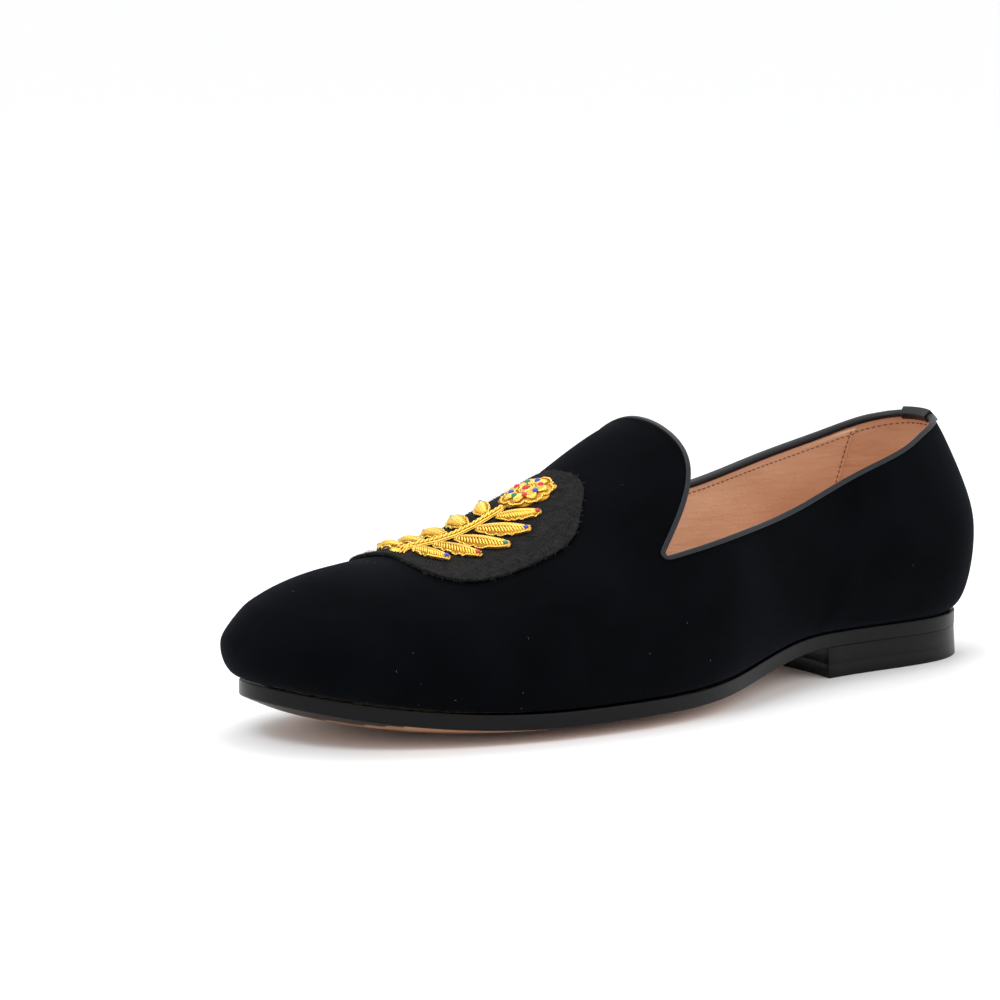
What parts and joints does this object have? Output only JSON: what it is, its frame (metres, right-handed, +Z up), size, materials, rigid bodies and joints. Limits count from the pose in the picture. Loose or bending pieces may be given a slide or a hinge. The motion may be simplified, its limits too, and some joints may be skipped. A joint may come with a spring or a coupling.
{
  "type": "velvet slipper loafer",
  "caption": "Low velvet slip-on shoe with a bound collar, raised tongue, leather sole, low heel and a gold-embroidered felt patch on the vamp.",
  "frame": {"origin": "on the floor under the middle of the shoe's outline", "axes": "+Z up, +Y towards the heel (the toe points to -Y), +X towards the lateral side of this left shoe"},
  "size_m": [0.0994, 0.29, 0.0893],
  "materials": {
    "velvet": "black cotton velvet, matt with a faint cool sheen at grazing edges",
    "binding": "charcoal satin-woven tape, soft sheen",
    "lining": "tan calf lining, fine creases and pores, semi-matt",
    "sole_edge": "black painted and waxed leather edge, satin; tan leather underneath",
    "felt": "charcoal wool felt, fuzzy cut edge",
    "gold_thread": "yellow gold bullion wire over padding, with small red, blue and green knots"
  },
  "bodies": {
    "root": {"outsole": "sole_edge", "heel_stack": "sole_edge", "heel_top_piece": "sole_edge", "insole": "lining", "upper": "velvet", "topline_binding": "binding", "back_tab": "binding", "badge_patch": "felt", "spray_stem": "gold_thread", "spray_blossom": "gold_thread", "spray_leaf_1_lateral": "gold_thread", "spray_leaf_1_medial": "gold_thread", "spray_leaf_2_lateral": "gold_thread", "spray_leaf_2_medial": "gold_thread", "spray_leaf_3_lateral": "gold_thread", "spray_leaf_3_medial": "gold_thread", "spray_leaf_4_lateral": "gold_thread", "spray_leaf_4_medial": "gold_thread", "spray_leaf_5_lateral": "gold_thread", "spray_leaf_5_medial": "gold_thread"}
  },
  "joints": []
}
